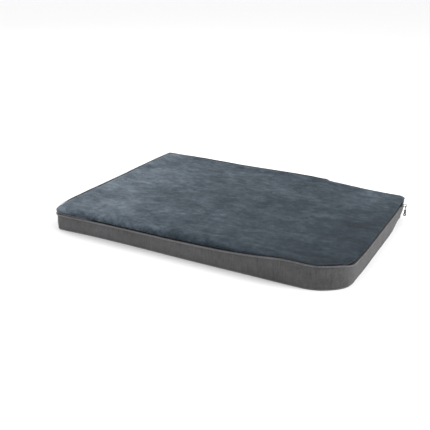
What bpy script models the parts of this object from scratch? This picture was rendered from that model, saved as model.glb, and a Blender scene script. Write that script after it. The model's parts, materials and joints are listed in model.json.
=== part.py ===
"""Kneeling pad: a foam core in a zipped fabric cover, with one slider and pull at each end of the zip.

Metres, +Z up. The origin is the centre of the bottom face. +X runs along the pad's long side, and -Y is its
front.
"""

import math

import bmesh
import bpy
from mathutils import Matrix, Vector

# Driving dimensions
LENGTH = 0.800
WIDTH = 0.600
HEIGHT = 0.062
HALF_L = LENGTH / 2
HALF_W = WIDTH / 2

# Corner radii, seen from above
R_FRONT_RIGHT = 0.100
R_FRONT_LEFT = 0.022
R_BACK_LEFT = 0.012
R_BACK_RIGHT = 0.022
ARC_STEPS = 8
RUN_STEP = 0.032  # spacing of points along the straight sides

# The zip runs round the wall and climbs towards the front-right corner
ZIP_Z = 0.0455
ZIP_RISE = 0.007
FRONT_RISE = (-0.100, 0.300)  # the climb along the front side, in X
BACK_RISE = (0.180, 0.340)  # the climb along the back side, in X

# Cover fabric
PANEL = 0.0016
WALL_OUT = 0.0003  # depth of the wall's outer face inside the pad's outline
WALL_IN = 0.0021
BAND_BOTTOM = 0.0035
BAND_TOP = -0.0050  # from the zip's centre line
SKIRT_BOTTOM = 0.0050  # from the zip's centre line
VELOUR = 0.0019
TOP_BEVEL = 0.0035
RIDGE_R = 0.00125
GAP = 0.0003

# Foam
FOAM_INSET = 0.0065
BASE_FOAM_TOP = 0.038
COMFORT_FOAM_TOP = HEIGHT - VELOUR - 2 * GAP

# Zip: two rows of coil on two tapes
TAPE_OUT = 0.00245
TAPE_IN = 0.00295
TAPE_DOWN = 0.0090
TAPE_UP = 0.0066
COIL_OUT = 0.0017
COIL_IN = 0.0037
COIL_LOW = 0.00045
COIL_HIGH = 0.00195

# Slider, measured from its centre on the zip line
SLIDER_LENGTH = 0.0105
SLIDER_HALF = 0.0043
PLATE_OUT = (0.0003, 0.0014)
PLATE_IN = (0.0040, 0.0051)
FLANGE_Z = 0.0030
POST_HALF = 0.00022
CROWN_HALF = 0.0018
CROWN_LENGTH = 0.0094
HOLE_FLOOR = 0.0012  # the bail's hole starts this far outside the outline
PIVOT_OUT = 0.0030  # the bail's axis stands this far outside the outline
WIRE_R = 0.00080
BAIL_LENGTH = 0.0140
BAIL_HALF = 0.0032
BAIL_CORNER = 0.0016
BAIL_STEPS = 3
BAIL_REST = math.radians(30)  # swung towards the closed end of the zip
HANG_BACK = 0.0026  # the puller hangs this far short of the link's far end

# Puller. The drops are measured down from its hinge axis
ROUND_SIDES = 20
EYE_INNER = 0.0013
EYE_OUTER = 0.0026
EYE_THICK = 0.0016
NECK_HALF = 0.0008
NECK_DROP = 0.0100
PULL_THICK = 0.0024
SHANK_HALF = 0.0024
SHANK_DROP = 0.0095
RING_THICK = 0.0020
RING_OUTER = 0.0042
RING_INNER = 0.0018
RING_DROP = 0.0235
TIP_THICK = 0.0014
TIP_RADIUS = 0.0038
TIP_DROP = 0.0295
CUT = 0.0080  # depth of a cutter, through any piece of the puller

# Where the zip ends, on the right side and on the back side
SIDE_SLIDER_Y = 0.236
BACK_SLIDER_X = 0.150
STOP_AT = (0.0066, 0.0090)  # from the slider's centre, past its closed end
COIL_END = 0.0063
TAB_AT = (0.0100, 0.0240)
TAPE_END = 0.0155
STOP_HALF = 0.0030
TAB_HALF = 0.0046
TAB_THICK = 0.0014

COLOURS = {
    "velour": ((0.095, 0.130, 0.160), 0.95, 0.0),
    "woven": ((0.115, 0.115, 0.118), 0.92, 0.0),
    "base_cloth": ((0.035, 0.035, 0.037), 0.95, 0.0),
    "zip_tape": ((0.020, 0.021, 0.023), 0.85, 0.0),
    "zip_coil": ((0.012, 0.012, 0.013), 0.45, 0.0),
    "firm_foam": ((0.45, 0.46, 0.48), 0.98, 0.0),
    "soft_foam": ((0.75, 0.72, 0.60), 0.98, 0.0),
    "slider_metal": ((0.020, 0.020, 0.022), 0.35, 0.9),
    "steel_wire": ((0.35, 0.35, 0.36), 0.30, 1.0),
    "puller": ((0.010, 0.010, 0.011), 0.40, 0.0),
}


def clear_scene():
    for obj in list(bpy.data.objects):
        bpy.data.objects.remove(obj)


def collection(name):
    made = bpy.data.collections.new(name)
    bpy.context.scene.collection.children.link(made)
    return made


def material(slot):
    found = bpy.data.materials.get(slot)
    if found:
        return found
    colour, roughness, metallic = COLOURS[slot]
    made = bpy.data.materials.new(slot)
    made.use_nodes = True
    shader = made.node_tree.nodes["Principled BSDF"]
    shader.inputs["Base Color"].default_value = (*colour, 1.0)
    shader.inputs["Roughness"].default_value = roughness
    shader.inputs["Metallic"].default_value = metallic
    return made


def place(name, data, slot, target):
    obj = bpy.data.objects.new(name, data)
    data.materials.append(material(slot))
    target.objects.link(obj)
    return obj


def rise(x, y):
    """How far the zip line has climbed at this point of the outline."""
    start, end = FRONT_RISE if y < 0 else BACK_RISE
    t = min(max((x - start) / (end - start), 0.0), 1.0)
    return ZIP_RISE * t * t * (3 - 2 * t)


# The outline, walked clockwise from above: right, front, left, back

def arc(corner_x, corner_y, radius, inset, first_deg):
    """Points of a corner, turning clockwise through 90 degrees from first_deg."""
    cx = corner_x - math.copysign(radius, corner_x)
    cy = corner_y - math.copysign(radius, corner_y)
    points = []
    for i in range(ARC_STEPS + 1):
        a = math.radians(first_deg - 90 * i / ARC_STEPS)
        points.append((cx + (radius - inset) * math.cos(a), cy + (radius - inset) * math.sin(a)))
    return points


def front_right(inset):
    return arc(HALF_L, -HALF_W, R_FRONT_RIGHT, inset, 0)


def front_left(inset):
    return arc(-HALF_L, -HALF_W, R_FRONT_LEFT, inset, -90)


def back_left(inset):
    return arc(-HALF_L, HALF_W, R_BACK_LEFT, inset, 180)


def back_right(inset):
    return arc(HALF_L, HALF_W, R_BACK_RIGHT, inset, 90)


def subdivided(points, closed=False):
    """The same route with extra points on its long straight runs."""
    ends = points[1:] + (points[:1] if closed else [])
    out = []
    for a, b in zip(points, ends):
        steps = max(1, round(math.dist(a, b) / RUN_STEP))
        out += [(a[0] + (b[0] - a[0]) * i / steps, a[1] + (b[1] - a[1]) * i / steps) for i in range(steps)]
    return out if closed else out + points[-1:]


def loop_route(inset):
    corners = front_right(inset) + front_left(inset) + back_left(inset) + back_right(inset)
    return subdivided(corners, closed=True)


def zip_route(inset, past):
    """From the right side, round the front and the left, to the back side."""
    first = (HALF_L - inset, SIDE_SLIDER_Y + past)
    last = (BACK_SLIDER_X + past, HALF_W - inset)
    return subdivided([first] + front_right(inset) + front_left(inset) + back_left(inset) + [last])


def hinge_route(inset, past):
    """From the zip's end on the back side, round the back-right corner, to its end on the right side."""
    first = (BACK_SLIDER_X + past, HALF_W - inset)
    last = (HALF_L - inset, SIDE_SLIDER_Y + past)
    return subdivided([first] + back_right(inset) + [last])


def raised(route, z):
    return [(x, y, z + rise(x, y)) for x, y in route]


def poly_curve(name, points, closed, dimensions="3D"):
    data = bpy.data.curves.new(name, "CURVE")
    data.dimensions = dimensions
    data.twist_mode = "Z_UP"
    spline = data.splines.new("POLY")
    spline.points.add(len(points) - 1)
    for point, co in zip(spline.points, points):
        point.co = (*co, 1.0) if len(co) == 3 else (*co, 0.0, 1.0)
    spline.use_cyclic_u = closed
    return data


def as_mesh(curve):
    """A curve's evaluated mesh, with its caps welded on. The curve's data is removed."""
    holder = bpy.data.objects.new("holder", curve)
    bpy.context.scene.collection.objects.link(holder)
    bpy.context.view_layer.update()
    mesh = bpy.data.meshes.new_from_object(holder.evaluated_get(bpy.context.evaluated_depsgraph_get()))
    bpy.data.curves.remove(curve)
    bm = bmesh.new()
    bm.from_mesh(mesh)
    bmesh.ops.remove_doubles(bm, verts=bm.verts, dist=1e-6)
    bm.to_mesh(mesh)
    bm.free()
    mesh.materials.clear()
    return mesh


def strip(name, route, low, high, depth, slot, target, closed=False):
    """A strip of cloth on edge. low and high are its edges in Z, and depth its faces inside the outline."""
    outer, inner = depth
    section = [(outer, low), (outer, high), (inner, high), (inner, low)]
    profile = bpy.data.objects.new("section", poly_curve("section", section, True, "2D"))
    profile.hide_render = True
    bpy.context.scene.collection.objects.link(profile)
    data = poly_curve(name, route, closed)
    data.bevel_mode = "OBJECT"
    data.bevel_object = profile
    data.use_fill_caps = True
    mesh = as_mesh(data)
    mesh.name = name
    bpy.data.objects.remove(profile)
    return place(name, mesh, slot, target)


def slab(name, inset, low, high, slot, target):
    """A flat sheet or block with the pad's outline."""
    data = poly_curve(name, loop_route(inset), True, "2D")
    data.fill_mode = "BOTH"
    data.extrude = (high - low) / 2
    obj = place(name, as_mesh(data), slot, target)
    obj.location.z = (low + high) / 2
    return obj


def wire(name, points, radius, closed, slot, target):
    data = poly_curve(name, points, closed)
    data.bevel_depth = radius
    data.bevel_resolution = 1
    data.use_fill_caps = True
    return place(name, data, slot, target)


def block(bm, low, high):
    """A box between two corners."""
    low, high = Vector(low), Vector(high)
    matrix = Matrix.Translation((low + high) / 2) @ Matrix.Diagonal((*(high - low), 1.0))
    bmesh.ops.create_cube(bm, size=1.0, matrix=matrix)


def mesh_of(name, boxes):
    bm = bmesh.new()
    for low, high in boxes:
        block(bm, low, high)
    mesh = bpy.data.meshes.new(name)
    bm.to_mesh(mesh)
    bm.free()
    return mesh


def boolean(obj, cutter, operation):
    modifier = obj.modifiers.new(cutter.name, "BOOLEAN")
    modifier.operation = operation
    modifier.object = cutter


def helper(name, mesh, cutters, parent=None):
    obj = bpy.data.objects.new(name, mesh)
    obj.hide_render = True
    obj.display_type = "WIRE"
    obj.parent = parent
    cutters.objects.link(obj)
    return obj


def disc(radius, depth, drop, turned_about, sides=ROUND_SIDES):
    """A flat round piece on edge: turned about Y it faces along X, and turned about X it faces along Y."""
    bm = bmesh.new()
    turn = Matrix.Translation((0, 0, -drop)) @ Matrix.Rotation(math.radians(90), 4, turned_about)
    bmesh.ops.create_cone(
        bm, cap_ends=True, segments=sides, radius1=radius, radius2=radius, depth=depth, matrix=turn
    )
    mesh = bpy.data.meshes.new("disc")
    bm.to_mesh(mesh)
    bm.free()
    return mesh


def link_route():
    """A rounded rectangle in X and Z. One of its short sides lies on the hinge axis."""
    points = []
    far, up = BAIL_LENGTH, BAIL_HALF
    corners = ((far, up, 90), (far, -up, 0), (0, -up, -90), (0, up, 180))
    for x, z, first in corners:
        centre_x = x - math.copysign(BAIL_CORNER, x - BAIL_CORNER)
        centre_z = z - math.copysign(BAIL_CORNER, z)
        for i in range(BAIL_STEPS + 1):
            a = math.radians(first - 90 * i / BAIL_STEPS)
            along, up_by = BAIL_CORNER * math.cos(a), BAIL_CORNER * math.sin(a)
            points.append((centre_x + along, 0.0, centre_z + up_by))
    return points


# The fixed cover

def make_top_panel(target):
    """The velour top: a flat sheet with a rounded edge and a short skirt down to the zip."""
    bm = bmesh.new()
    lower = [bm.verts.new((x, y, ZIP_Z + SKIRT_BOTTOM + rise(x, y))) for x, y in loop_route(0)]
    edges = [bm.edges.new((a, b)) for a, b in zip(lower, lower[1:] + lower[:1])]
    grown = bmesh.ops.extrude_edge_only(bm, edges=edges)["geom"]
    rim = [item for item in grown if isinstance(item, bmesh.types.BMVert)]
    for vert in rim:
        vert.co.z = HEIGHT
    top_edges = [edge for edge in bm.edges if all(vert in rim for vert in edge.verts)]
    bmesh.ops.contextual_create(bm, geom=top_edges)
    bmesh.ops.recalc_face_normals(bm, faces=bm.faces)
    if max(bm.faces, key=lambda face: face.calc_area()).normal.z < 0:
        bmesh.ops.reverse_faces(bm, faces=bm.faces)
    mesh = bpy.data.meshes.new("top_panel")
    bm.to_mesh(mesh)
    bm.free()
    obj = place("top_panel", mesh, "velour", target)
    bevel = obj.modifiers.new("rolled_edge", "BEVEL")
    bevel.width = TOP_BEVEL
    bevel.segments = 3
    bevel.limit_method = "ANGLE"
    bevel.angle_limit = math.radians(60)
    shell = obj.modifiers.new("cloth", "SOLIDIFY")
    shell.thickness = VELOUR
    shell.offset = -1


def make_side_band(target):
    """The woven wall. Its top edge follows the zip, its bottom edge is level."""
    route = [(x, y, 0.0) for x, y in loop_route(0)]
    band_top = ZIP_Z + BAND_TOP
    depth = (WALL_OUT, WALL_IN)
    band = strip("side_band", route, BAND_BOTTOM, band_top, depth, "woven", target, closed=True)
    middle = (BAND_BOTTOM + band_top) / 2
    for vert in band.data.vertices:
        if vert.co.z > middle:
            vert.co.z += rise(vert.co.x, vert.co.y)


def make_cover(target):
    slab("bottom_panel", WALL_IN + GAP, 0.0, PANEL, "base_cloth", target)
    seam_route = [(x, y, 0.0) for x, y in loop_route(0)]
    seam_top = BAND_BOTTOM - GAP
    strip("bottom_seam", seam_route, 0.0, seam_top, (0.0, WALL_IN), "woven", target, closed=True)
    make_side_band(target)
    make_top_panel(target)
    hinge = raised(hinge_route(0, TAPE_END + GAP), ZIP_Z)
    edge_gap = 2 * GAP  # the strips are straight between their points
    low, high = BAND_TOP + edge_gap, SKIRT_BOTTOM - edge_gap
    strip("hinge_panel", hinge, low, high, (WALL_OUT, WALL_IN), "woven", target)
    ridge = raised(zip_route(-RIDGE_R, COIL_END), ZIP_Z + BAND_TOP - RIDGE_R)
    wire("band_ridge", ridge, RIDGE_R, False, "woven", target)


def make_foam(target):
    base_bottom = PANEL + GAP
    slab("base_foam", FOAM_INSET, base_bottom, BASE_FOAM_TOP, "firm_foam", target)
    slab("comfort_foam", FOAM_INSET, BASE_FOAM_TOP + GAP, COMFORT_FOAM_TOP, "soft_foam", target)


# The zip

def make_chain(target):
    tape = raised(zip_route(0, TAPE_END), ZIP_Z)
    coil = raised(zip_route(0, COIL_END), ZIP_Z)
    tape_low = COIL_HIGH + GAP
    depth = (TAPE_OUT, TAPE_IN)
    strip("zip_tape_lower", tape, -TAPE_DOWN, -tape_low, depth, "zip_tape", target)
    strip("zip_tape_upper", tape, tape_low, TAPE_UP, depth, "zip_tape", target)
    strip("zip_coil_lower", coil, -COIL_HIGH, -COIL_LOW, (COIL_OUT, COIL_IN), "zip_coil", target)
    strip("zip_coil_upper", coil, COIL_LOW, COIL_HIGH, (COIL_OUT, COIL_IN), "zip_coil", target)


class ZipEnd:
    """One end of the zip. Local X points out of the wall, and local Y along the zip to its closed end."""

    def __init__(self, name, location, turn, mirrored, target, cutters):
        self.name = name
        self.target = target
        self.cutters = cutters
        self.mirrored = mirrored
        self.frame = bpy.data.objects.new(name + "_frame", None)
        self.frame.location = location
        self.frame.rotation_euler.z = turn
        target.objects.link(self.frame)

    def along(self, box):
        """A box given with Y towards the closed end, in the frame's own axes."""
        (x0, y0, z0), (x1, y1, z1) = box
        return ((x0, -y1, z0), (x1, -y0, z1)) if self.mirrored else box

    def piece(self, suffix, boxes, slot, parent=None):
        name = f"{self.name}_{suffix}"
        obj = place(name, mesh_of(name, [self.along(box) for box in boxes]), slot, self.target)
        obj.parent = parent or self.frame
        return obj

    def joined(self, obj, suffix, boxes):
        """Joins further boxes to a piece."""
        for i, box in enumerate(boxes):
            name = f"{obj.name}_{suffix}_{i}"
            part = helper(name, mesh_of(name, [self.along(box)]), self.cutters, obj.parent)
            boolean(obj, part, "UNION")

    def make_end(self):
        first, last = STOP_AT
        outside = -COIL_OUT + 2 * GAP
        stop = [((-COIL_IN, first, -STOP_HALF), (outside, last, STOP_HALF))]
        stop_obj = self.piece("end_stop", stop, "slider_metal")
        slot_low = COIL_HIGH
        for sign in (-1, 1):
            low, high = sorted((sign * slot_low, sign * (STOP_HALF + GAP)))
            name = f"{self.name}_tape_slot_{'up' if sign > 0 else 'down'}"
            box = self.along(((-TAPE_IN - GAP, first - GAP, low), (-TAPE_OUT + GAP, last + GAP, high)))
            boolean(stop_obj, helper(name, mesh_of(name, [box]), self.cutters, self.frame), "DIFFERENCE")
        tab = ((0.0, TAB_AT[0], -TAB_HALF), (TAB_THICK, TAB_AT[1], TAB_HALF))
        self.piece("end_tab", [tab], "zip_tape")

    def make_slider(self):
        half = SLIDER_LENGTH / 2
        flange_out = -TAPE_OUT + GAP
        flange_in = -TAPE_IN - GAP
        outer = ((-PLATE_OUT[1], -half, -SLIDER_HALF), (-PLATE_OUT[0], half, SLIDER_HALF))
        slider = self.piece("slider", [outer], "slider_metal")
        boxes = [((-PLATE_IN[1], -half, -SLIDER_HALF), (-PLATE_IN[0], half, SLIDER_HALF))]
        for low, high in ((-SLIDER_HALF, -FLANGE_Z), (FLANGE_Z, SLIDER_HALF)):
            boxes.append(((flange_out, -half, low), (-PLATE_OUT[0] - GAP, half, high)))
            boxes.append(((-PLATE_IN[0] - GAP, -half, low), (flange_in, half, high)))
        post_in, post_out = -PLATE_IN[0] - GAP, -PLATE_OUT[0] - GAP
        boxes.append(((post_in, half / 3, -POST_HALF), (post_out, half - GAP, POST_HALF)))
        crown_out = PIVOT_OUT + WIRE_R + 3 * GAP
        crown_end = CROWN_LENGTH / 2
        boxes.append(((post_out, -crown_end, -CROWN_HALF), (crown_out, crown_end, CROWN_HALF)))
        self.joined(slider, "part", boxes)
        reach = WIRE_R + GAP
        hole = ((HOLE_FLOOR, -reach, -2 * CROWN_HALF), (PIVOT_OUT + reach, reach, 2 * CROWN_HALF))
        name = f"{slider.name}_bail_hole"
        boolean(slider, helper(name, mesh_of(name, [hole]), self.cutters, self.frame), "DIFFERENCE")

    def axis(self, suffix, parent, location, turn=0.0):
        """An empty on a joint's axis."""
        empty = bpy.data.objects.new(f"{self.name}_{suffix}", None)
        empty.parent = parent
        empty.location = location
        empty.rotation_euler.z = turn
        self.target.objects.link(empty)
        return empty

    def make_bail(self):
        """A closed wire link. Its empty stands on the hinge axis, with local X along the link."""
        turn = -BAIL_REST if self.mirrored else BAIL_REST
        axis = self.axis("bail_axis", self.frame, (PIVOT_OUT, 0.0, 0.0), turn)
        bail = wire(f"{self.name}_bail", link_route(), WIRE_R, True, "steel_wire", self.target)
        bail.data.twist_mode = "MINIMUM"
        bail.parent = axis
        return axis

    def make_puller(self, bail_axis):
        """Hangs by its eye from the link. The shank and ring face a quarter turn from the eye."""
        hang = self.axis("puller_axis", bail_axis, (BAIL_LENGTH - HANG_BACK, 0.0, -BAIL_HALF))
        eye_drop = EYE_INNER - WIRE_R - GAP / 3
        neck_top = -eye_drop - (EYE_INNER + EYE_OUTER) / 2
        shank_end = -RING_DROP + (RING_INNER + RING_OUTER) / 2
        neck = ((-NECK_HALF, -NECK_HALF, -NECK_DROP), (NECK_HALF, NECK_HALF, neck_top))
        shank = ((-SHANK_HALF, -PULL_THICK / 2, shank_end), (SHANK_HALF, PULL_THICK / 2, -SHANK_DROP))
        eye = disc(EYE_OUTER, EYE_THICK, eye_drop, "Y")
        puller = place(f"{self.name}_puller", eye, "puller", self.target)
        puller.parent = hang
        shapes = (
            ("neck", mesh_of("neck", [neck]), "UNION"),
            ("shank", mesh_of("shank", [shank]), "UNION"),
            ("ring", disc(RING_OUTER, RING_THICK, RING_DROP, "X"), "UNION"),
            ("tip", disc(TIP_RADIUS, TIP_THICK, TIP_DROP - TIP_RADIUS, "X", sides=3), "UNION"),
            ("eye_hole", disc(EYE_INNER, CUT, eye_drop, "Y"), "DIFFERENCE"),
            ("ring_hole", disc(RING_INNER, CUT, RING_DROP, "X"), "DIFFERENCE"),
        )
        for suffix, mesh, operation in shapes:
            boolean(puller, helper(f"{puller.name}_{suffix}", mesh, self.cutters, hang), operation)


def make_zip_end(end):
    end.make_end()
    end.make_slider()
    end.make_puller(end.make_bail())


def main():
    clear_scene()
    parts = collection("kneeling_pad")
    cutters = collection("cutters")
    make_foam(parts)
    make_cover(parts)
    make_chain(parts)
    side_at = (HALF_L, SIDE_SLIDER_Y, ZIP_Z + ZIP_RISE)
    back_at = (BACK_SLIDER_X, HALF_W, ZIP_Z)
    make_zip_end(ZipEnd("side", side_at, 0.0, False, parts, cutters))
    make_zip_end(ZipEnd("back", back_at, math.radians(90), True, parts, cutters))


main()
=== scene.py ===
"""Looks of the zipped foam kneeling pad: napped velour top, woven wall, folded welt and coil zip.

Metres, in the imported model's own frame: +Z up, +X along the long side, -Y the front. Where a
piece is described along the outline, s is the distance walked clockwise, seen from above.
"""

import json
import math

import bmesh
import bpy
import numpy as np
from mathutils import Matrix, Vector, noise
from mathutils.geometry import delaunay_2d_cdt


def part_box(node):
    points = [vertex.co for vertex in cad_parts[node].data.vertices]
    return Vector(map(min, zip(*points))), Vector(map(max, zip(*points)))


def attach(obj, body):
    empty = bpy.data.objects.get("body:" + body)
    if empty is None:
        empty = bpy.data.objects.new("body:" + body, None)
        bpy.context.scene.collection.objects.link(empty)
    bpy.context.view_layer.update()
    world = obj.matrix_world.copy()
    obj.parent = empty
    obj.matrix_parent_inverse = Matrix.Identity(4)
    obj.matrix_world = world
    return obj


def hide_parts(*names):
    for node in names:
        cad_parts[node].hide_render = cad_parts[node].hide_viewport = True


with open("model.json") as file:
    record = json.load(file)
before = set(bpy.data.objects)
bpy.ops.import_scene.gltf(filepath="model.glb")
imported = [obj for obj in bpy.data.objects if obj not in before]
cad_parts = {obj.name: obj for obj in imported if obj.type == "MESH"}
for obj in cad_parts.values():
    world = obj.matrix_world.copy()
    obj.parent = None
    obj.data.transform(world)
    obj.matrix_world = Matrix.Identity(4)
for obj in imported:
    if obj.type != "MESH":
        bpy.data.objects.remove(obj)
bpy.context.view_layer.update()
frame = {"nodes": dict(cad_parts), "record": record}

MM = 0.001
BODY = "cover"

# The outline and the zip line, as in the CAD

HALF_L, HALF_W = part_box("bottom_seam")[1][:2]
TOP_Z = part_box("top_panel")[1][2]
CORNERS = (  # centre signs, radius, first angle of a clockwise quarter turn
    (1, -1, 100 * MM, 0),
    (-1, -1, 22 * MM, -90),
    (-1, 1, 12 * MM, 180),
    (1, 1, 22 * MM, 90),
)
ZIP_Z = 45.5 * MM
ZIP_RISE = 7 * MM  # how much higher the zip runs at the right
FRONT_RISE = (-0.100, 0.300)  # where it starts and stops rising, in x
BACK_RISE = (0.180, 0.340)
COIL_PAST = 6.3 * MM  # the coils run on this far past the middle of a closed slider
SIDE_END_Y = 0.236 + COIL_PAST
BACK_END_X = 0.150 + COIL_PAST
TAPE_PAST = 9.2 * MM  # the tapes run on this far past the coils

# Noise seeds are small numbers, and these keep the noise of one apart from that of the next
OUTLINE_SEED_GAP = 7.31
TOP_SEED_GAP = 5.17


def smooth(t):
    t = min(max(t, 0.0), 1.0)
    return t * t * (3 - 2 * t)


def between(value, start, end):
    """0 up to start and 1 from end on, with a smooth step between them."""
    return smooth((value - start) / (end - start))


def near(value, centre, reach):
    """1 at centre, falling to 0 at this distance from it."""
    return smooth(1 - abs(value - centre) / reach)


def towards(x, y, corner_x, corner_y, reach):
    """1 at a corner of the pad, falling to 0 at this distance along each side."""
    return near(x, corner_x, reach) * near(y, corner_y, reach)


class Outline:
    """The pad's outline. It starts where the coils end on the right side."""

    def __init__(self):
        self.runs = []
        start = Vector((HALF_L, SIDE_END_Y))
        here = start
        for sx, sy, radius, first in CORNERS:
            centre = Vector((sx * (HALF_L - radius), sy * (HALF_W - radius)))
            a = math.radians(first)
            bend = centre + radius * Vector((math.cos(a), math.sin(a)))
            self.runs.append(("line", (bend - here).length, here, bend))
            self.runs.append(("arc", radius * math.pi / 2, centre, (radius, a)))
            b = a - math.pi / 2
            here = centre + radius * Vector((math.cos(b), math.sin(b)))
        self.runs.append(("line", (start - here).length, here, start))
        self.length = sum(run[1] for run in self.runs)
        back_line = sum(run[1] for run in self.runs[:6])
        self.zip_length = back_line + BACK_END_X - self.runs[6][2].x

    def at(self, s):
        """The point at distance s, and the outward direction there."""
        s %= self.length
        for kind, length, a, b in self.runs:
            if s <= length:
                break
            s -= length
        if kind == "line":
            along = (b - a).normalized()
            return a + along * s, Vector((-along.y, along.x))
        radius, first = b
        angle = first - s / radius
        out = Vector((math.cos(angle), math.sin(angle)))
        return a + radius * out, out


OUTLINE = Outline()
LEFT_START = sum(run[1] for run in OUTLINE.runs[:4])  # where the left side starts


def zip_height(s):
    point, _ = OUTLINE.at(s)
    return ZIP_Z + ZIP_RISE * between(point.x, *(FRONT_RISE if point.y < 0 else BACK_RISE))


def depth_inside(x, y):
    """How far a point lies inside the outline."""
    for sx, sy, radius, _ in CORNERS:
        cx, cy = sx * (HALF_L - radius), sy * (HALF_W - radius)
        if (x - cx) * sx > 0 and (y - cy) * sy > 0:
            return radius - math.hypot(x - cx, y - cy)
    return min(HALF_L - abs(x), HALF_W - abs(y))


def wobble(s, scale, seed):
    """Smooth noise along the outline, from -1 to 1. It closes on itself."""
    turn = 2 * math.pi * s / OUTLINE.length
    radius = OUTLINE.length / (2 * math.pi * scale)
    around = (radius * math.cos(turn), radius * math.sin(turn))
    return noise.noise(Vector((*around, seed * OUTLINE_SEED_GAP)))


def noise_at(x, y, scale, seed):
    return noise.noise(Vector((x / scale, y / scale, seed * TOP_SEED_GAP)))


# How the soft cover lies off the CAD outline. Each range is where an effect starts and is full

LEAN = 3.4 * MM  # how far the left side hangs out, half way along it
LEAN_FORWARDS = 12.0 * MM  # how much more, for each metre towards the front
LEAN_AT_FLOOR = 0.75  # the share of it that its foot follows
RIGHT_BULGE = 2.4 * MM
FRONT_HOLLOW = 3.4 * MM  # how far the front's foot is drawn in
FRONT_LEFT_FOOT = -2.4 * MM
BACK_RIGHT_FOOT = 5.0 * MM
LARGE_CORNER_IN = 2.8 * MM
LARGE_CORNER_FOOT = (3.0 * MM, -1.5 * MM)
TIP_IN = 1.5 * MM
TIP_REACH = 0.07


def settled(x, y, z):
    """Where the cover lies: out past its base at the front-left, and in at the large corner."""
    foot = 1 - between(z, 0, 30 * MM)
    high = between(z, 10 * MM, 44 * MM)
    left = between(-x, 0.24, 0.40)
    left *= LEAN_AT_FLOOR + (1 - LEAN_AT_FLOOR) * between(z, 0, 24 * MM)
    right = between(x, 0.30, 0.39) * between(y, -0.24, -0.10) * between(-y, -0.26, -0.16)
    back_right = between(x, 0.36, 0.40) * between(y, 0.12, 0.26) * (1 - between(z, 0, 36 * MM))
    front = FRONT_HOLLOW * near(x, -0.20, 0.22) + FRONT_LEFT_FOOT * between(-x, 0.30, 0.38)
    large = towards(x, y, HALF_L, -HALF_W, 0.20) * high
    large_foot = towards(x, y, HALF_L - 4 * MM, -HALF_W + 56 * MM, 0.05) * (1 - high)
    tip = towards(x, y, HALF_L, HALF_W, TIP_REACH) * between(z, 50 * MM, 58 * MM)
    right_by = RIGHT_BULGE * right - left * (LEAN - LEAN_FORWARDS * y)
    right_by += -BACK_RIGHT_FOOT * back_right - LARGE_CORNER_IN * large
    right_by += LARGE_CORNER_FOOT[0] * large_foot - TIP_IN * tip
    back_by = between(-y, 0.20, 0.28) * foot * front
    back_by += LARGE_CORNER_IN * large + LARGE_CORNER_FOOT[1] * large_foot
    return (x + right_by, y + back_by, z)


def free_side(s):
    """1 along the front and left sides, where no slider passes, and 0 along the right and back."""
    point, _ = OUTLINE.at(s)
    return max(between(-point.y, 0.202, 0.268), between(-point.x, 0.335, 0.365))


def big_corner(s):
    """1 round the middle of the large corner, where the wall stands tallest."""
    point, _ = OUTLINE.at(s)
    return between(point.x, 0.08, 0.28) * between(-point.y, 0.205, 0.290)


def by_side(s, slider, free=0.0, large=0.0):
    """A size given in mm on the sliders' sides, with what it gains elsewhere, in metres."""
    return (slider + free * free_side(s) + large * big_corner(s)) * MM


ROLL_LEFT_BACK = 0.42  # how widely the velour's edge is rolled, as shares of VELOUR_SECTION
ROLL_FRONT_MORE = 0.30
ROLL_RIGHT_MORE = 0.12


def roll_size(s):
    """How widely the velour's edge is rolled: most at the front, tighter at the left and back."""
    point, _ = OUTLINE.at(s)
    front = between(-point.y, 0.25, 0.30)
    right = between(point.x, 0.36, 0.39)
    return ROLL_LEFT_BACK + ROLL_FRONT_MORE * front + ROLL_RIGHT_MORE * right * (1 - front)


FRONT_CLIMB = 2.6 * MM
FRONT_HUMP = 2.4 * MM
LARGE_CORNER_CLIMB = 2.0 * MM


def lifted(s):
    """How far the seam under the velour rides up, which is most at the large corner."""
    point, _ = OUTLINE.at(s)
    climb = FRONT_CLIMB * between(point.x, -0.36, -0.22) + FRONT_HUMP * near(point.x, 0.265, 0.09)
    return climb * free_side(s) + LARGE_CORNER_CLIMB * big_corner(s)


# Mesh helpers

def add_object(name, mesh, body=BODY):
    obj = bpy.data.objects.new(name, mesh)
    bpy.context.scene.collection.objects.link(obj)
    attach(obj, body)
    return obj


def ribbon_mesh(name, rows, closed):
    """Quads between rows of points along the outline, lowest row first. Its UVs are in metres."""
    count, across = len(rows[0]), len(rows)
    points = np.array(rows, float)
    ends = points[:, :1] if closed else points[:, -1:]
    lengths = np.linalg.norm(np.diff(points, axis=1, append=ends), axis=2)
    along = np.concatenate([[0], np.cumsum(lengths[across // 2])])
    widths = np.linalg.norm(np.diff(points, axis=0), axis=2).mean(axis=1)
    up = np.concatenate([[0], np.cumsum(widths)])
    bm = bmesh.new()
    grid = [[bm.verts.new(p) for p in row] for row in points]
    cloth = bm.loops.layers.uv.new("cloth")
    for k in range(across - 1):
        for i in range(count if closed else count - 1):
            j = (i + 1) % count
            face = bm.faces.new((grid[k][i], grid[k + 1][i], grid[k + 1][j], grid[k][j]))
            face.smooth = True
            cells = ((i, k), (i, k + 1), (i + 1, k + 1), (i + 1, k))
            for loop, (column, row) in zip(face.loops, cells):
                loop[cloth].uv = (along[column], up[row])
    mesh = bpy.data.meshes.new(name)
    bm.to_mesh(mesh)
    bm.free()
    return mesh


def solidify(obj, thickness, offset=-1.0):
    shell = obj.modifiers.new("thickness", "SOLIDIFY")
    shell.thickness = thickness
    shell.offset = offset


def spread(first, last, step):
    """Distances from first to last, about this far apart."""
    steps = max(2, round((last - first) / step))
    return [first + (last - first) * i / steps for i in range(steps + 1)]


def all_round(step):
    return spread(0, OUTLINE.length, step)[:-1]


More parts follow.
